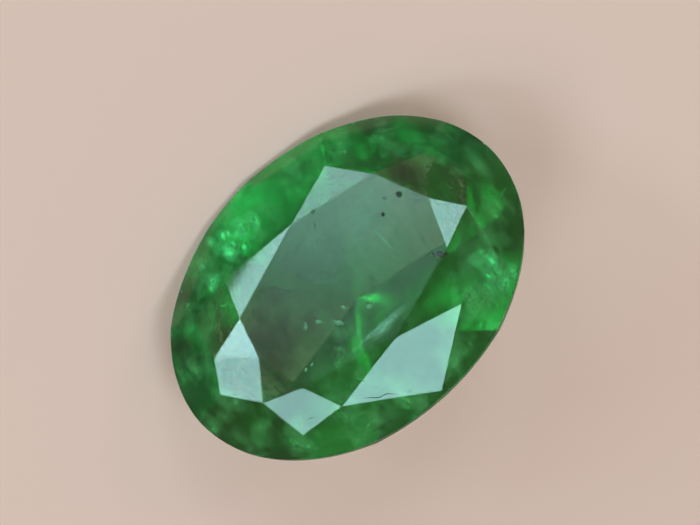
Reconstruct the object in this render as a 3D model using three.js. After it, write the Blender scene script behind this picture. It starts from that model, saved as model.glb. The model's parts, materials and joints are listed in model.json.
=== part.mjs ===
// A loose oval-cut emerald. It is drawn table up in its own frame, with the girdle plane at zero height,
// then laid down on one of its long pavilion facets, so the table leans forward.
// Millimetres, +Z up, +X along the length of the oval, and the stone rests on Z = 0.

import * as THREE from "three";
import { ConvexGeometry } from "three/addons/geometries/ConvexGeometry.js";

const LENGTH = 8.0;
const WIDTH = 5.94;
const CROWN_HEIGHT = 0.85;
const GIRDLE_THICKNESS = 0.16;
const PAVILION_DEPTH = 2.95;
const STAR_SLOPE = THREE.MathUtils.degToRad(12);

// Crown corners seen straight down on the table, in order round the stone from the +X end.
// The stone is cut by eye, so no two quarters are quite alike.
const TABLE_CORNERS = [
  [2.23, 0.03], [1.99, 1.07], [-0.04, 1.6], [-1.98, 0.98],
  [-2.39, -0.03], [-1.91, -1.16], [-0.02, -1.52], [1.98, -0.83],
];
const KITE_TIPS = [
  [3.31, -0.01], [2.63, 1.71], [0, 2.9], [-2.62, 1.66],
  [-3.33, -0.02], [-2.7, -1.59], [-0.14, -2.57], [2.71, -1.45],
];
const STAR_TIPS = [
  [2.78, 0.73], [1.66, 1.86], [-1.46, 1.97], [-2.85, 0.6],
  [-2.97, -0.79], [-1.33, -1.98], [1.69, -1.65], [2.91, -0.62],
];

// Pavilion: the mains stand round the oval at these angles, measured as on a circle squeezed to the oval.
const MAIN_ANGLES = [0, 40, 90, 140, 180, 220, 270, 320].map(THREE.MathUtils.degToRad);
const RESTING_MAIN = 6;
const MAIN_TIP_SHARE = 0.93; // where a main ends, as a share of the way out from the culet
const JOINT_SHARE = 0.5; // where two mains stop meeting, as a share of the way up from the culet

const STEPS_PER_GIRDLE_FACET = 7;

const OVAL = new THREE.Vector3(LENGTH / 2, WIDTH / 2, 1);
const UP = new THREE.Vector3(0, 0, 1);

const after = (list, i) => list[(i + 1) % list.length];
const before = (list, i) => list[(i + list.length - 1) % list.length];

// A point on the girdle outline, or on a smaller copy of it when the share is under 1.
function onOval(angle, height, share = 1) {
  return new THREE.Vector3(share * Math.cos(angle), share * Math.sin(angle), height).multiply(OVAL);
}

function ovalAngle(point) {
  return Math.atan2(point.y / OVAL.y, point.x / OVAL.x);
}

// Part of the way round the oval from one point to another, the short way.
function angleBetween(from, to, share) {
  const start = ovalAngle(from);
  const turn = ovalAngle(to) - start;
  return start + share * Math.atan2(Math.sin(turn), Math.cos(turn));
}

function planeThrough(a, b, c) {
  return new THREE.Plane().setFromCoplanarPoints(a, b, c);
}

function onPlane(plane, x, y) {
  const { normal, constant } = plane;
  return new THREE.Vector3(x, y, -(constant + normal.x * x + normal.y * y) / normal.z);
}

// A star slopes down and out from one edge of the table.
function starPlane(from, to) {
  const outward = new THREE.Vector3().subVectors(to, from).cross(UP).normalize();
  const below = from.clone().add(outward);
  below.z -= Math.tan(STAR_SLOPE);
  return planeThrough(from, to, below);
}

// A main touches the lower edge of the girdle at its own angle and runs down to the culet.
function mainPlane(angle, culet) {
  const touch = onOval(angle, -GIRDLE_THICKNESS);
  const along = onOval(angle + Math.PI / 2, 0);
  return planeThrough(culet, touch, along.add(touch));
}

// Follow the seam of two girdle facets from the corner they share out to the girdle wall.
function seamEnd(corner, facet, neighbour) {
  const along = new THREE.Vector3().crossVectors(facet.normal, neighbour.normal);
  along.multiplyScalar(Math.sign(along.x * corner.x + along.y * corner.y));
  const start = new THREE.Vector2(corner.x / OVAL.x, corner.y / OVAL.y);
  const run = new THREE.Vector2(along.x / OVAL.x, along.y / OVAL.y);
  const slope = start.dot(run) / run.lengthSq();
  const reach = Math.sqrt(slope ** 2 + (1 - start.lengthSq()) / run.lengthSq()) - slope;
  return corner.clone().addScaledVector(along, reach);
}

// Girdle facets hang between neighbouring corners, and each touches the girdle wall midway between its two.
// Returns the edge that they cut round the wall.
function girdleEdge(corners, height) {
  const facets = corners.map((corner, i) => {
    const next = after(corners, i);
    return planeThrough(corner, next, onOval(angleBetween(corner, next, 0.5), height));
  });
  const seamEnds = corners.map((corner, i) => seamEnd(corner, facets[i], before(facets, i)));
  return facets.flatMap((facet, i) => {
    return Array.from({ length: STEPS_PER_GIRDLE_FACET }, (_, step) => {
      const share = step / STEPS_PER_GIRDLE_FACET;
      const { x, y } = onOval(angleBetween(seamEnds[i], after(seamEnds, i), share), 0);
      return onPlane(facet, x, y);
    });
  });
}

function crownCorners() {
  const table = TABLE_CORNERS.map(([x, y]) => new THREE.Vector3(x, y, CROWN_HEIGHT));
  const starTips = STAR_TIPS.map((tip, i) => onPlane(starPlane(table[i], after(table, i)), ...tip));
  const kiteTips = KITE_TIPS.map((tip, i) => {
    return onPlane(planeThrough(table[i], before(starTips, i), starTips[i]), ...tip);
  });
  const ring = kiteTips.flatMap((tip, i) => [tip, starTips[i]]);
  return [...table, ...ring, ...girdleEdge(ring, 0)];
}

function pavilionCorners(culet, mains) {
  const joints = mains.map((main, i) => {
    const seam = new THREE.Vector3().crossVectors(main.normal, after(mains, i).normal);
    return culet.clone().addScaledVector(seam, (JOINT_SHARE * PAVILION_DEPTH) / seam.z);
  });
  const mainTips = MAIN_ANGLES.map((angle, i) => {
    const { x, y } = onOval(angle, 0, MAIN_TIP_SHARE);
    return onPlane(mains[i], x, y);
  });
  const ring = mainTips.flatMap((tip, i) => [tip, joints[i]]);
  return [culet, ...ring, ...girdleEdge(ring, -GIRDLE_THICKNESS)];
}

const culet = new THREE.Vector3(0, 0, -PAVILION_DEPTH);
const mains = MAIN_ANGLES.map((angle) => mainPlane(angle, culet));
const emerald = new THREE.Mesh(
  new ConvexGeometry([...crownCorners(), ...pavilionCorners(culet, mains)]),
  new THREE.MeshStandardMaterial({ color: 0x1f8a44, roughness: 0.08, metalness: 0 }),
);
emerald.name = "emerald";

// Lay the stone on its resting main, then bring its lowest point to the floor and centre it in plan.
const outward = mains[RESTING_MAIN].normal.clone();
outward.multiplyScalar(-Math.sign(outward.z));
emerald.quaternion.setFromUnitVectors(outward, UP.clone().negate());
const box = new THREE.Box3().setFromObject(emerald, true);
const centre = box.getCenter(new THREE.Vector3());
emerald.position.set(-centre.x, -centre.y, -box.min.z);

const part = new THREE.Group();
part.add(emerald);

export default part;
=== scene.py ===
import json
import math

import bmesh
import bpy
import numpy as np
from mathutils import Matrix, Vector


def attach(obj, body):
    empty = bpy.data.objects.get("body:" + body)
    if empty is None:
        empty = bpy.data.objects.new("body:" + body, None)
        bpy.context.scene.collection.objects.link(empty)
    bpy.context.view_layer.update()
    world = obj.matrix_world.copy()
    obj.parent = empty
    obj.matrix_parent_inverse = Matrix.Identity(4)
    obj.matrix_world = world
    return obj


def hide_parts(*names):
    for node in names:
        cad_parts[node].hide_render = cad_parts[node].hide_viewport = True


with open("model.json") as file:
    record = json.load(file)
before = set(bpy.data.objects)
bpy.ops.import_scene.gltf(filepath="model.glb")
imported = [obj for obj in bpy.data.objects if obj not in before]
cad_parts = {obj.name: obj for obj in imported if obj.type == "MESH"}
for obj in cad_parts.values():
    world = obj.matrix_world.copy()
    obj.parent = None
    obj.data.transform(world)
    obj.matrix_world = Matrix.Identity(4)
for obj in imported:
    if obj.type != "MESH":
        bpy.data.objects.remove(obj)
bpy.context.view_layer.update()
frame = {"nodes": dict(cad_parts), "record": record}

MM = 0.001
CROWN_HEIGHT = 0.85  # of the table above the girdle plane, in millimetres

# The photograph's view of the stone
IMAGE_WIDTH = 700
IMAGE_HEIGHT = 525
STONE_CENTRE_PX = (346.6, 286.9)
PIXELS_PER_MM = 49.85
VIEW_TILT = math.radians(12.0)  # from the table's normal, towards the upper side of the stone
LONG_AXIS_ANGLE = math.radians(42.7)  # of the oval in the picture
LENS = 180.0
SENSOR = 36.0
NEAR_CLIP_SHARE = 0.01  # of the camera's distance
FAR_CLIP = 5.0
TRANSPARENT_BOUNCES = 32  # enough to see through many films

# Softboxes: elevation, and azimuth from the front towards +X, in degrees; half width and half height in
# degrees, as the stone sees them; radiance; and colour. Each bright facet of the crown mirrors one of them.
SKY = (0.53, 0.94, 0.98)
WHITE = (1.0, 1.0, 1.0)
SOFTBOX_DISTANCE = 0.5
POWER_PER_RADIANCE = 4  # of a lamp, for each unit of its area
SOFTBOXES = {
    "front": (11.8, 7.5, 7, 6, 7.2, SKY),
    "front_left": (11.1, -5.5, 5, 6, 4.9, SKY),
    "front_right": (24.0, 23.5, 4.5, 4.5, 12.5, SKY),
    "right_low": (27.0, 35.0, 5.0, 4.5, 7.3, SKY),
    "right_high": (52, 65, 8, 8, 6.2, SKY),
    "overhead": (86.8, 19, 9, 9, 7.0, SKY),
    "left": (39.5, -29, 6, 6, 7.0, SKY),
    "table": (28.2, -9, 8.5, 7, 3.8, SKY),
    "right_fill": (43, 88, 6, 6, 1.8, WHITE),
    "left_fill": (43, -74, 6, 6, 1.8, WHITE),
}
AMBIENT = (0.29, 0.26, 0.19)

# The floor, and a dark card on it in front, which the lowest facets mirror; in millimetres
FLOOR_COLOUR = (0.95, 0.54, 0.49)
FLOOR_REACH = 2000.0
FLOOR_DROP = 0.02  # below the stone
CARD_COLOUR = (0.18, 0.17, 0.14)
CARD_NEAR = 2.6
CARD_FAR = 400.0
CARD_DROP = 0.01
MATT = 0.8  # roughness of both

# The stone: sizes in millimetres, and places in its own frame, which is along its length, across it, and up
# from the girdle plane to the table.
REFRACTION = 1.58
BODY_COLOUR = (0.08, 0.71, 0.30)
BODY_DENSITY = 650
ZONE_TINTS = ((0.90, 1.0, 0.93), (1.0, 1.0, 1.0))
POLISH = (0.10, 0.14)  # roughness, from lap line to lap line
PAVILION_ROUGHNESS = 0.08  # more than the polish
GIRDLE_ROUGHNESS = 0.35  # more than the polish
PAVILION_WAVES = 0.03  # height of relief in the shading
GIRDLE_GRIT = 0.02
LAP_RELIEF = 0.0001
EDGE_WEAR = 0.011
WELD = 0.0002
FLAT_ANGLE = math.radians(0.3)
GIRDLE_FACING = 0.3  # the wall of the girdle leans less than this share towards or away from the table
TINY = 1e-9
SEED = 7

# Grains: balls cut by flat planes at these shares of their radius
GRAIN_CUTS = 9
GRAIN_CUT_SHARES = (0.6, 0.95)
GRAIN_INSET = 0.005

# Nicks in the rim of the girdle
NICKS = 26
NICK_LEAST = 0.012
NICK_GROWTH = 0.03
NICK_STRETCH = 1.8
NICK_RIM_SHARE = 0.995  # where the crown's height is taken, as a share of the way out to the wall
NICK_SCATTER = 0.3  # up and down, as a share of the nick's radius
NICK_STEP_OUT = 0.3  # past the wall, as a share of the nick's radius

# Pits in the polish, with their radius
PIT_RISE = 0.2  # of a pit's centre above the facet, as a share of its radius
PIT_STRETCH = 1.4
PITS = [
    (-2.02, -0.48, 0.075),
    (-1.51, -0.40, 0.045),
    (-1.44, -0.46, 0.025),
    (-1.76, -0.63, 0.02),
    (-0.52, -1.41, 0.045),
    (0.45, 2.19, 0.02),
    (0.46, 2.50, 0.018),
    (1.85, 1.68, 0.016),
]
# Cracks that reach the surface: their run, and half their width
CRACK_DEPTH = 0.6  # of a crack's middle, as a share of half its width
CRACK_TAPER = 0.4
CRACKS = [
    ([(-0.41, -1.26), (-0.38, -1.18), (-0.32, -1.12)], 0.012),
    ([(0.20, -1.10), (0.32, -1.00)], 0.010),
    ([(1.25, 2.00), (1.12, 2.10), (1.00, 2.21), (0.84, 2.24), (0.68, 2.40)], 0.013),
    ([(0.96, 1.99), (0.90, 2.04)], 0.012),
    ([(2.37, 1.55), (2.28, 1.58), (2.19, 1.65)], 0.013),
    ([(-1.72, 1.42), (-1.44, 1.61)], 0.010),
]

# Films: waves along and across, with their height; half width and bend, as shares of half length; and
# levels of noise at which a film begins to show and is thickest
SHEET_STEPS = 12
SHEET_INSET = 0.025
FILM_WAVES = [(2.1, 0, 1.0), (0, 3.7, 0.6), (5, 5, 0.4)]
FILM_WIDTHS = (0.4, 0.8)
FILM_BEND = 0.1
FILM_FADE_END = 0.95  # where a film has faded out, as a share of the way to its edge
BROKEN_LEVELS = (0.35, 0.85)
FULL_LEVELS = (0.2, 0.5)

# Healed fractures, as pale films all through the stone
VEIL_COUNT = 26
VEIL_LENGTHS = (0.6, 1.5)
VEIL_WIDTHS = (0.35, 0.8)
VEIL_INSET = 0.3
VEIL_OPACITY = 0.40
VEIL_COLOURS = ((0.40, 0.92, 0.50), (0.70, 1.0, 0.75))
SEARCH_BOX = ((-4, -3, -3), (4, 3, CROWN_HEIGHT))

# Denser clouds of them: where on the crown, how many, how far they spread, and their usual half length
CLOUDS = [
    (0.90, -2.35, 8, 0.30, 0.35),
    (1.10, -1.90, 5, 0.25, 0.35),
    (2.10, -2.00, 12, 0.20, 0.35),
    (2.60, -1.20, 3, 0.30, 0.35),
    (2.95, 1.55, 8, 0.25, 0.35),
    (1.70, 2.30, 12, 0.25, 0.35),
    (0.60, 2.65, 16, 0.20, 0.35),
    (-1.10, 2.50, 7, 0.25, 0.35),
    (-1.70, 2.20, 7, 0.25, 0.35),
    (-2.50, 1.85, 8, 0.25, 0.35),
    (-3.30, 0.40, 4, 0.25, 0.35),
    (0.85, 0.80, 8, 0.30, 0.35),
    (0.80, 1.75, 4, 0.20, 0.35),
]
CLOUD_DEPTHS = (0.15, 0.55)
CLOUD_SIZES = (0.6, 1.4)  # shares of the usual half length
CLOUD_TILT = 0.6
CLOUD_OPACITY = 0.80
CLOUD_COLOURS = ((0.16, 0.94, 0.24), (0.42, 1.0, 0.48))

# And rings of such clouds all round the rim, each ring at a share of the way out to it
RIM_CLOUDS = 18
RIM_SHARES = (0.85, 0.95)
RIM_CLOUD = (5, 0.18, 0.42)
HALF_LENGTH = 4.0
HALF_WIDTH = 2.97

# Iron stain in some of them
STAINS = [
    (-2.45, -0.75, 9, 0.15, 0.45),
    (-2.00, -1.50, 3, 0.20, 0.40),
    (-3.40, 0.10, 3, 0.20, 0.35),
    (1.42, -1.83, 2, 0.10, 0.20),
    (3.32, -1.33, 4, 0.12, 0.30),
    (1.70, -0.10, 8, 0.25, 0.80),
    (1.00, -0.60, 4, 0.25, 0.80),
    (2.30, 0.90, 6, 0.20, 0.40),
]
STAIN_OPACITY = 0.65
STAIN_COLOURS = ((0.05, 0.06, 0.015), (0.13, 0.12, 0.03))

# A long feathered fracture under the table, of several streaks: middle, depth, half length and half width
FEATHER = [
    (0.15, 1.22, 0.12, 0.85, 0.06),
    (-0.15, 1.27, 0.14, 0.55, 0.10),
    (0.05, 1.30, 0.18, 0.35, 0.14),
]
FEATHER_FACING = (0.08, 0.1, 1)
FEATHER_BEND = 0.01
FEATHER_OPACITY = 0.45
FEATHER_COLOURS = ((0.45, 1.0, 0.80), (0.75, 1.0, 0.95))

# Fractures near the surface that flash as they mirror a softbox: where, which, how many, and how far spread
FLASHES = [
    (1.20, -2.50, "front", 5, 0.12),
    (0.80, -2.33, "front", 7, 0.14),
    (1.26, -2.06, "front", 5, 0.12),
    (0.45, -2.25, "front", 3, 0.14),
    (2.00, -1.95, "front", 3, 0.12),
    (-2.54, 1.64, "left", 8, 0.14),
    (-2.42, 1.95, "left", 7, 0.14),
    (-2.30, 2.18, "left", 3, 0.06),
]
FLASH_DEPTHS = (0.08, 0.4)
FLASH_LENGTHS = (0.12, 0.32)
FLASH_TILT = 0.08
FLASH_BEND = 0.04
FLASH_OPACITY = 0.9
FLASH_LEVELS = (0.25, 0.65)
FLASH_COLOURS = ((0.06, 0.66, 0.20), (0.22, 0.95, 0.38))

# Solid inclusions seen through the table: where on the table, how deep, and how big
SPECK_COLOURS = ((0.006, 0.010, 0.005), (0.03, 0.03, 0.012))
SPECK_STRETCH = 1.3
CRYSTAL_COLOURS = ((0.28, 0.56, 0.38), (0.55, 0.80, 0.62))
CRYSTAL_STRETCH = 1.6
DARK_SPECKS = [
    (-2.02, -0.48, 0.10, 0.080),
    (-1.51, -0.40, 0.07, 0.050),
    (-1.76, -0.63, 0.30, 0.04),
    (-1.81, 0.98, 0.12, 0.07),
    (-1.72, 0.90, 0.10, 0.05),
    (-1.90, 1.04, 0.10, 0.035),
]
CRYSTALS = [
    (1.15, 0.22, 0.35, 0.045),
    (1.10, 0.16, 0.38, 0.030),
    (0.88, 0.31, 0.35, 0.04),
    (0.84, 0.38, 0.40, 0.025),
    (0.60, 0.59, 0.35, 0.05),
    (0.64, 0.52, 0.40, 0.03),
    (0.56, 0.66, 0.38, 0.03),
    (0.32, 0.44, 0.35, 0.045),
    (0.29, 0.50, 0.40, 0.025),
    (-0.07, 0.78, 0.35, 0.05),
    (-0.13, 0.72, 0.40, 0.03),
    (1.70, 0.85, 0.20, 0.025),
    (1.54, 0.85, 0.20, 0.025),
]
# Pale needles under the table: both ends as seen on it, how deep they lie, and their radius
NEEDLES = [
    ((-1.18, -0.27), (-1.18, 0.28), 0.12, 0.006),
    ((-1.10, 0.28), (-1.13, 0.46), 0.16, 0.005),
]


def mount(name):
    return next(m for m in frame["record"]["mounts"] if m["name"] == name)


def stone_frame():
    """The stone's own axes from the girdle's centre: X along its length, Y across, Z out of the table."""
    table = mount("table")
    normal = Vector(table["axis"]).normalized()
    length = Vector((1, 0, 0))
    across = normal.cross(length)
    axes = Matrix((length, across, normal)).transposed().to_4x4()
    axes.translation = Vector(table["pos_m"]) - CROWN_HEIGHT * MM * normal
    return axes


STONE = stone_frame()
CENTRE = STONE.translation
TOWARD_CAMERA = STONE.to_3x3() @ Vector((0, math.sin(VIEW_TILT), math.cos(VIEW_TILT)))


def facet_planes():
    """Outward normals of the solid's flat faces, and their distances out, in the stone's own frame."""
    to_stone = STONE.inverted()
    mesh = frame["nodes"]["emerald"].data
    planes = set()
    for face in mesh.polygons:
        normal = to_stone.to_3x3() @ face.normal
        distance = normal.dot(to_stone @ mesh.vertices[face.vertices[0]].co) / MM
        planes.add(tuple(round(value, 4) for value in (*normal, distance)))
    table = np.array(sorted(planes))
    return table[:, :3], table[:, 3]


NORMALS, DISTANCES = facet_planes()


def depth_inside(point):
    return (DISTANCES - NORMALS @ np.asarray(point)).min()


def steps_to_planes(rates, room):
    """How many steps fit before the nearest plane, given how fast one step uses up the room to each."""
    return np.where(rates > TINY, room / np.maximum(rates, TINY), np.inf).min(axis=-1)


def held_inside(centre, points, inset):
    """Points drawn back towards the centre where they come closer to the surface than the inset."""
    steps = points - centre
    room = np.maximum(DISTANCES - inset - NORMALS @ centre, 0)
    return centre + steps * np.clip(steps_to_planes(steps @ NORMALS.T, room), 0, 1)[:, None]


def on_crown(x, y):
    """The point of the crown over a place in plan, and the normal of its facet."""
    up = NORMALS[:, 2] > GIRDLE_FACING
    heights = (DISTANCES[up] - NORMALS[up, 0] * x - NORMALS[up, 1] * y) / NORMALS[up, 2]
    lowest = heights.argmin()
    return np.array([x, y, heights[lowest]]), NORMALS[up][lowest]


def under_table(x, y, depth):
    """The place seen at a point of the table, at this depth: the line of sight leans as it goes in."""
    lean = math.tan(math.asin(math.sin(VIEW_TILT) / REFRACTION))
    return np.array([x, y - lean * depth, CROWN_HEIGHT - depth])


def link(name, data):
    thing = bpy.data.objects.new(name, data)
    bpy.context.scene.collection.objects.link(thing)
    return thing


def softbox_direction(name):
    rise, turn = (math.radians(angle) for angle in SOFTBOXES[name][:2])
    level = math.cos(rise)
    return Vector((level * math.sin(turn), -level * math.cos(turn), math.sin(rise)))


def make_camera():
    length = STONE.to_3x3().col[0]
    across = TOWARD_CAMERA.cross(length)
    right = -math.cos(LONG_AXIS_ANGLE) * length + math.sin(LONG_AXIS_ANGLE) * across
    up = -math.sin(LONG_AXIS_ANGLE) * length - math.cos(LONG_AXIS_ANGLE) * across
    pixel = MM / PIXELS_PER_MM
    off_right = (IMAGE_WIDTH / 2 - STONE_CENTRE_PX[0]) * pixel
    off_up = (STONE_CENTRE_PX[1] - IMAGE_HEIGHT / 2) * pixel
    aim = CENTRE + off_right * right + off_up * up
    distance = LENS / SENSOR * IMAGE_WIDTH * pixel
    data = bpy.data.cameras.new("camera")
    data.lens = LENS
    data.sensor_width = SENSOR
    data.clip_start = NEAR_CLIP_SHARE * distance
    data.clip_end = FAR_CLIP
    camera = link("camera", data)
    turn = Matrix((right, up, TOWARD_CAMERA)).transposed().to_4x4()
    camera.matrix_world = Matrix.Translation(aim + distance * TOWARD_CAMERA) @ turn
    bpy.context.scene.camera = camera


def make_softbox(name):
    half_width, half_height, radiance, colour = SOFTBOXES[name][2:]
    direction = softbox_direction(name)
    data = bpy.data.lights.new(name, "AREA")
    data.shape = "RECTANGLE"
    data.size = 2 * SOFTBOX_DISTANCE * math.tan(math.radians(half_width))
    data.size_y = 2 * SOFTBOX_DISTANCE * math.tan(math.radians(half_height))
    data.energy = POWER_PER_RADIANCE * radiance * data.size * data.size_y
    data.color = colour
    light = link(name, data)
    light.location = CENTRE + SOFTBOX_DISTANCE * direction
    light.rotation_euler = direction.to_track_quat("Z", "Y").to_euler()
    light.visible_camera = False


def make_ambient():
    world = bpy.data.worlds.new("world")
    world.use_nodes = True
    world.node_tree.nodes["Background"].inputs["Color"].default_value = (*AMBIENT, 1)
    bpy.context.scene.world = world


class Nodes:
    """A material's node tree, with short ways to add to it."""

    def __init__(self, name):
        self.material = bpy.data.materials.new(name)
        self.material.use_nodes = True
        self.tree = self.material.node_tree
        self.shader = self.tree.nodes["Principled BSDF"]

    def fill(self, socket, value):
        """Sets a socket, or links it where the value is another node's output."""
        if isinstance(value, bpy.types.NodeSocket):
            self.tree.links.new(value, socket)
        else:
            socket.default_value = value

    def add(self, kind, sockets=None, **settings):
        node = self.tree.nodes.new("ShaderNode" + kind)
        for name, value in settings.items():
            setattr(node, name, value)
        for name, value in (sockets or {}).items():
            self.fill(node.inputs[name], value)
        return node

    def surface(self, sockets):
        for name, value in sockets.items():
            self.fill(self.shader.inputs[name], value)

    def noise(self, scale, detail=3, stretch=(1, 1, 1)):
        """Noise over the piece, its scale counted in waves to the millimetre."""
        places = self.add("TexCoord").outputs["Object"]
        stretched = self.add("Mapping", {"Vector": places, "Scale": tuple(s / MM for s in stretch)})
        sockets = {"Vector": stretched.outputs[0], "Scale": scale, "Detail": detail}
        return self.add("TexNoise", sockets).outputs["Fac"]

    def spread(self, source, low, high, start=0.0, end=1.0):
        """A value mapped from one range to another."""
        sockets = {"Value": source, "From Min": start, "From Max": end, "To Min": low, "To Max": high}
        return self.add("MapRange", sockets).outputs["Result"]

    def product(self, first, second):
        return self.add("Math", {0: first, 1: second}, operation="MULTIPLY").outputs[0]

    def total(self, first, *others):
        for other in others:
            first = self.add("Math", {0: first, 1: other}, operation="ADD").outputs[0]
        return first

    def attribute(self, name):
        return self.add("Attribute", attribute_name=name).outputs["Fac"]

    def blend(self, factor, first, second):
        """One colour changing to another."""
        node = self.add("Mix", data_type="RGBA")
        colour_inputs = [socket for socket in node.inputs if socket.type == "RGBA"]
        self.fill(node.inputs[0], factor)
        self.fill(colour_inputs[0], (*first, 1))
        self.fill(colour_inputs[1], (*second, 1))
        return next(socket for socket in node.outputs if socket.type == "RGBA")

    def patchy(self, opacity, thin, thick):
        """A film's opacity: it fades out towards its edge, and is broken up by noise between two levels."""
        across = self.add("TexCoord").outputs["UV"]
        sockets = {0: across, 1: (2, 2, 0), 2: (-1, -1, 0)}
        centred = self.add("VectorMath", sockets, operation="MULTIPLY_ADD").outputs[0]
        radius = self.add("VectorMath", {0: centred}, operation="LENGTH").outputs["Value"]
        fade = self.spread(radius, 1.0, 0.0, 0.0, FILM_FADE_END)
        cloud = self.spread(self.noise(2.6, 2.5), 0.0, 1.0, thin, thick)
        return self.product(self.product(fade, cloud), opacity)


def emerald_material():
    look = Nodes("emerald")
    absorb = look.add("VolumeAbsorption", {"Color": (*BODY_COLOUR, 1), "Density": BODY_DENSITY})
    look.tree.links.new(absorb.outputs[0], look.tree.nodes["Material Output"].inputs["Volume"])

    zones = look.noise(0.9, 2)
    pavilion = look.attribute("pavilion")
    girdle = look.attribute("girdle")
    lap_lines = look.noise(1.0, 2, stretch=(4, 70, 45))
    polish = look.spread(lap_lines, *POLISH, 0.3, 0.7)
    pavilion_rough = look.product(pavilion, PAVILION_ROUGHNESS)
    rough = look.total(polish, pavilion_rough, look.product(girdle, GIRDLE_ROUGHNESS))

    waves = look.product(look.noise(1.6, 3), look.product(pavilion, PAVILION_WAVES))
    grit = look.product(look.noise(40, 2), look.product(girdle, GIRDLE_GRIT))
    height = look.total(waves, grit, look.product(lap_lines, LAP_RELIEF))
    bump = look.add("Bump", {"Height": height, "Distance": MM})
    look.surface({
        "Transmission Weight": 1.0,
        "IOR": REFRACTION,
        "Base Color": look.blend(zones, *ZONE_TINTS),
        "Roughness": rough,
        "Normal": bump.outputs["Normal"],
    })
    return look.material


def film_material(name, colours, opacity, levels):
    """A thin film in the stone, that scatters light."""
    look = Nodes(name)
    look.surface({
        "Base Color": look.blend(look.noise(3, 3), *colours),
        "Roughness": look.spread(look.noise(8, 2), 0.4, 0.6),
        "Alpha": look.patchy(opacity, *levels),
    })
    return look.material


def flash_material():
    look = Nodes("flash")
    look.surface({
        "Metallic": 1.0,
        "Base Color": look.blend(look.noise(6, 2), *FLASH_COLOURS),
        "Roughness": look.spread(look.noise(12, 2), 0.28, 0.44),
        "Alpha": look.patchy(FLASH_OPACITY, *FLASH_LEVELS),
    })
    return look.material


def grain_material(name, colours):
    look = Nodes(name)
    look.surface({
        "Base Color": look.blend(look.noise(20, 3), *colours),
        "Roughness": look.spread(look.noise(30, 2), 0.3, 0.7),
    })
    return look.material


def plain_material(name, colour):
    look = Nodes(name)
    look.surface({"Base Color": (*colour, 1), "Roughness": MATT})
    return look.material


def stage_plane(name, low, high, height, material):
    """A level plane between two corners, beside the part."""
    corners = [(low[0], low[1]), (high[0], low[1]), (high[0], high[1]), (low[0], high[1])]
    mesh = bpy.data.meshes.new(name)
    mesh.from_pydata([(x * MM, y * MM, height * MM) for x, y in corners], [], [(0, 1, 2, 3)])
    mesh.materials.append(material)
    plane = link(name, mesh)
    return plane


def make_floor():
    low = (-FLOOR_REACH, -FLOOR_REACH)
    high = (FLOOR_REACH, FLOOR_REACH)
    stage_plane("floor", low, high, -FLOOR_DROP, plain_material("floor", FLOOR_COLOUR))


def make_dark_card():
    """Seen only in the stone: it is hidden from the camera and the floor, and throws no shadow."""
    low = (-CARD_FAR, -CARD_FAR)
    high = (CARD_FAR, -CARD_NEAR)
    card = stage_plane("dark_card", low, high, -CARD_DROP, plain_material("dark_card", CARD_COLOUR))
    card.visible_camera = False
    card.visible_diffuse = False
    card.visible_shadow = False


def add_piece(name, mesh, material):
    mesh.materials.clear()
    mesh.materials.append(material)
    piece = link(name, mesh)
    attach(piece, "root")
    return piece


def mesh_in_stone(name, points, faces):
    """A mesh from points in the stone's own frame."""
    mesh = bpy.data.meshes.new(name)
    mesh.from_pydata([STONE @ (Vector(p) * MM) for p in points], [], faces)
    mesh.update()
    return mesh


def unit(vector):
    return np.asarray(vector) / np.linalg.norm(vector)


def across_axes(normal):
    """Two unit vectors square to a normal and to each other."""
    start = (1, 0, 0) if abs(normal[0]) < 0.8 else (0, 1, 0)
    first = unit(np.cross(normal, start))
    return first, np.cross(normal, first)


def joined(shapes):
    """Points and faces of several shapes as one."""
    points = []
    faces = []
    for shape_points, shape_faces in shapes:
        faces += [[len(points) + i for i in face] for face in shape_faces]
        points += list(shape_points)
    return points, faces


def grain(rng, centre, radius, stretch=1.0):
    """Points and faces of a small irregular grain."""
    bm = bmesh.new()
    bmesh.ops.create_icosphere(bm, subdivisions=2, radius=1)
    points = np.array([v.co for v in bm.verts])
    faces = [[v.index for v in f.verts] for f in bm.faces]
    bm.free()
    planes = np.array([unit(rng.normal(size=3)) for _ in range(GRAIN_CUTS)])
    cuts = rng.uniform(*GRAIN_CUT_SHARES, size=GRAIN_CUTS)
    points = points * np.minimum(1, steps_to_planes(points @ planes.T, cuts))[:, None]
    axis = unit(rng.normal(size=3))
    points = points + np.outer(points @ axis, axis) * (stretch - 1)
    return np.asarray(centre) + radius * points, faces


def tube(line, radii, sides=6):
    """Points and faces of a closed tube along a line of points."""
    line = np.asarray(line)
    first, second = across_axes(unit(line[-1] - line[0]))
    turns = np.arange(sides) * 2 * math.pi / sides
    ring = np.outer(np.cos(turns), first) + np.outer(np.sin(turns), second)
    points = np.concatenate([centre + radius * ring for centre, radius in zip(line, radii)])
    faces = [list(range(sides))[::-1], [len(points) - sides + i for i in range(sides)]]
    for start in range(0, len(points) - sides, sides):
        for i in range(sides):
            a = start + i
            b = start + (i + 1) % sides
            faces.append([a, b, b + sides, a + sides])
    return points, faces


def nick_cutters(rng):
    """Small grains along the rim of the girdle."""
    shapes = []
    for _ in range(NICKS):
        angle = rng.uniform(0, 2 * math.pi)
        out = np.array([math.cos(angle), math.sin(angle), 0])
        wall = steps_to_planes(NORMALS @ out, DISTANCES)
        centre = out * wall
        crown, _ = on_crown(*(NICK_RIM_SHARE * centre[:2]))
        radius = NICK_LEAST + NICK_GROWTH * rng.random() ** 2
        centre[2] = crown[2] + rng.uniform(-NICK_SCATTER, NICK_SCATTER) * radius
        shapes.append(grain(rng, centre * (1 + NICK_STEP_OUT * radius / wall), radius, NICK_STRETCH))
    return shapes


def pit_cutters(rng):
    shapes = []
    for x, y, radius in PITS:
        surface, normal = on_crown(x, y)
        shapes.append(grain(rng, surface + PIT_RISE * radius * normal, radius, PIT_STRETCH))
    return shapes


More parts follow.
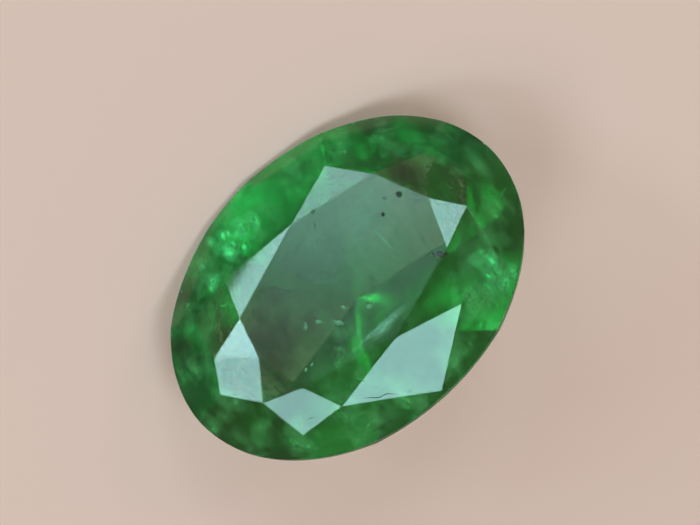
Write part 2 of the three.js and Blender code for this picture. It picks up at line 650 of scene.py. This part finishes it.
def cut_away(stone, shapes):
    cutter = link("cutter", mesh_in_stone("cutter", *joined(shapes)))
    cut = stone.modifiers.new("cut", "BOOLEAN")
    cut.operation = "DIFFERENCE"
    cut.solver = "MANIFOLD"
    cut.object = cutter
    shaped = stone.evaluated_get(bpy.context.evaluated_depsgraph_get())
    mesh = bpy.data.meshes.new_from_object(shaped)
    stone.modifiers.clear()
    stone.data = mesh
    bpy.data.objects.remove(cutter)


def mark_regions(mesh):
    """Says of each face whether it belongs to the pavilion or to the girdle's wall."""
    up = STONE.to_3x3().col[2]
    leans = [face.normal.dot(up) for face in mesh.polygons]
    pavilion = mesh.attributes.new("pavilion", "FLOAT", "FACE")
    pavilion.data.foreach_set("value", [float(lean < -GIRDLE_FACING) for lean in leans])
    girdle = mesh.attributes.new("girdle", "FLOAT", "FACE")
    girdle.data.foreach_set("value", [float(abs(lean) <= GIRDLE_FACING) for lean in leans])


def make_stone(rng):
    """The cut stone, with its facet edges rounded by wear, nicks in its girdle and pits in its polish."""
    bm = bmesh.new()
    bm.from_mesh(frame["nodes"]["emerald"].data)
    bmesh.ops.remove_doubles(bm, verts=bm.verts, dist=WELD * MM)
    bmesh.ops.dissolve_limit(bm, angle_limit=FLAT_ANGLE, verts=bm.verts, edges=bm.edges)
    up = STONE.to_3x3().col[2]

    def is_wall(face):
        return abs(face.normal.dot(up)) < GIRDLE_FACING

    edges = [e for e in bm.edges if not any(is_wall(f) for f in e.link_faces)]
    bmesh.ops.bevel(bm, geom=edges, offset=EDGE_WEAR * MM, segments=2, profile=0.5, affect="EDGES")
    mesh = bpy.data.meshes.new("cut_stone")
    bm.to_mesh(mesh)
    bm.free()
    stone = add_piece("cut_stone", mesh, emerald_material())
    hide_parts("emerald")
    cut_away(stone, nick_cutters(rng) + pit_cutters(rng))
    mark_regions(stone.data)


def random_inside(rng, inset):
    while True:
        point = rng.uniform(*SEARCH_BOX)
        if depth_inside(point) > inset:
            return point


def make_films(rng, name, sheets, material):
    """Wavy sheets as one piece, each given by its centre, normal, half length, half width and bend."""
    points = []
    faces = []
    spots = []
    line = np.linspace(-1, 1, SHEET_STEPS + 1)
    u, v = (grid.ravel() for grid in np.meshgrid(line, line))
    row = SHEET_STEPS + 1
    cells = [(i, i + 1, i + 1 + row, i + row) for i in range(row * SHEET_STEPS) if (i + 1) % row]
    for centre, normal, length, width, bend in sheets:
        first, second = across_axes(normal)
        phases = rng.uniform(0, 2 * math.pi, size=len(FILM_WAVES))
        swell = np.zeros(len(u))
        for (along, over, height), phase in zip(FILM_WAVES, phases):
            swell += height * np.sin(along * u + over * v + phase)
        sheet = np.outer(u * length, first) + np.outer(v * width, second) + np.outer(bend * swell, normal)
        sheet = held_inside(centre, centre + sheet, SHEET_INSET)
        faces += [[len(points) + i for i in cell] for cell in cells]
        points += list(sheet)
        spots += list(zip(u * 0.5 + 0.5, v * 0.5 + 0.5))
    mesh = mesh_in_stone(name, points, faces)
    layer = mesh.uv_layers.new(name="UVMap")
    for loop in mesh.loops:
        layer.data[loop.index].uv = spots[loop.vertex_index]
    mesh.polygons.foreach_set("use_smooth", [True] * len(mesh.polygons))
    return add_piece(name, mesh, material)


def veil_sheets(rng):
    sheets = []
    for _ in range(VEIL_COUNT):
        length = rng.uniform(*VEIL_LENGTHS)
        width = length * rng.uniform(*VEIL_WIDTHS)
        centre = random_inside(rng, VEIL_INSET)
        sheets.append((centre, unit(rng.normal(size=3)), length, width, FILM_BEND * length))
    return sheets


def rim_clouds():
    clouds = []
    for share in RIM_SHARES:
        for turn in np.arange(RIM_CLOUDS) * 2 * math.pi / RIM_CLOUDS:
            x = share * HALF_LENGTH * math.cos(turn)
            y = share * HALF_WIDTH * math.sin(turn)
            clouds.append((x, y, *RIM_CLOUD))
    return clouds


def cloud_sheets(rng, clouds):
    """Smaller films gathered under places of the crown."""
    sheets = []
    for x, y, count, scatter, usual_length in clouds:
        surface, normal = on_crown(x, y)
        for _ in range(count):
            centre = surface - rng.uniform(*CLOUD_DEPTHS) * normal + scatter * rng.normal(size=3)
            if depth_inside(centre) < SHEET_INSET:
                continue
            length = usual_length * rng.uniform(*CLOUD_SIZES)
            width = length * rng.uniform(*FILM_WIDTHS)
            facing = unit(normal + CLOUD_TILT * rng.normal(size=3))
            sheets.append((centre, facing, length, width, FILM_BEND * length))
    return sheets


def into_stone(direction, normal):
    """A direction towards the outside, bent as it is inside the stone under a facet."""
    sideways = (direction - normal * np.dot(direction, normal)) / REFRACTION
    return sideways + normal * math.sqrt(1 - np.dot(sideways, sideways))


def flash_sheets(rng):
    """Films turned so that they mirror a softbox to the camera."""
    to_stone = STONE.to_3x3().inverted()
    view = np.array(to_stone @ TOWARD_CAMERA)
    sheets = []
    for x, y, lamp, count, scatter in FLASHES:
        light = np.array(to_stone @ softbox_direction(lamp))
        surface, normal = on_crown(x, y)
        facing = unit(into_stone(view, normal) + into_stone(light, normal))
        for _ in range(count):
            centre = surface - rng.uniform(*FLASH_DEPTHS) * normal + scatter * rng.normal(size=3)
            if depth_inside(centre) < SHEET_INSET:
                continue
            tilt = unit(facing + FLASH_TILT * rng.normal(size=3))
            length = rng.uniform(*FLASH_LENGTHS)
            width = length * rng.uniform(*FILM_WIDTHS)
            sheets.append((centre, tilt, length, width, FLASH_BEND * length))
    return sheets


def feather_sheets():
    """Narrow films along the stone, nearly level with the table."""
    facing = unit(FEATHER_FACING)
    sheets = []
    for x, y, depth, length, width in FEATHER:
        sheets.append((under_table(x, y, depth), facing, width, length, FEATHER_BEND))
    return sheets


def make_grains(rng, name, spots, material, stretch):
    shapes = []
    for x, y, depth, radius in spots:
        centre = under_table(x, y, depth)
        points, faces = grain(rng, centre, radius, stretch)
        shapes.append((held_inside(centre, points, GRAIN_INSET), faces))
    return add_piece(name, mesh_in_stone(name, *joined(shapes)), material)


def make_cracks(material):
    """Near-black lines along the cracks that reach the surface."""
    shapes = []
    for run, half_width in CRACKS:
        line = []
        for x, y in run:
            surface, normal = on_crown(x, y)
            line.append(surface - CRACK_DEPTH * half_width * normal)
        radii = np.full(len(line), half_width)
        radii[[0, -1]] *= CRACK_TAPER
        shapes.append(tube(line, radii))
    add_piece("cracks", mesh_in_stone("cracks", *joined(shapes)), material)


def make_needles(material):
    shapes = []
    for start, end, depth, radius in NEEDLES:
        line = [under_table(*start, depth), under_table(*end, depth)]
        shapes.append(tube(line, [radius, radius]))
    add_piece("needles", mesh_in_stone("needles", *joined(shapes)), material)


def make_inclusions(rng):
    veil = film_material("veil", VEIL_COLOURS, VEIL_OPACITY, BROKEN_LEVELS)
    cloud = film_material("cloud", CLOUD_COLOURS, CLOUD_OPACITY, BROKEN_LEVELS)
    stain = film_material("stain", STAIN_COLOURS, STAIN_OPACITY, FULL_LEVELS)
    feather = film_material("feather", FEATHER_COLOURS, FEATHER_OPACITY, FULL_LEVELS)
    make_films(rng, "veils", veil_sheets(rng), veil)
    make_films(rng, "clouds", cloud_sheets(rng, CLOUDS + rim_clouds()), cloud)
    make_films(rng, "stains", cloud_sheets(rng, STAINS), stain)
    make_films(rng, "flashes", flash_sheets(rng), flash_material())
    make_films(rng, "feather", feather_sheets(), feather)
    dark = grain_material("speck", SPECK_COLOURS)
    pale = grain_material("crystal", CRYSTAL_COLOURS)
    make_cracks(dark)
    make_grains(rng, "dark_specks", DARK_SPECKS, dark, SPECK_STRETCH)
    make_grains(rng, "crystals", CRYSTALS, pale, CRYSTAL_STRETCH)
    make_needles(pale)


rng = np.random.default_rng(SEED)
make_camera()
make_floor()
make_dark_card()
make_stone(rng)
make_inclusions(rng)
for name in SOFTBOXES:
    make_softbox(name)
make_ambient()
bpy.context.scene.view_settings.view_transform = "Standard"
bpy.context.scene.cycles.transparent_max_bounces = TRANSPARENT_BOUNCES
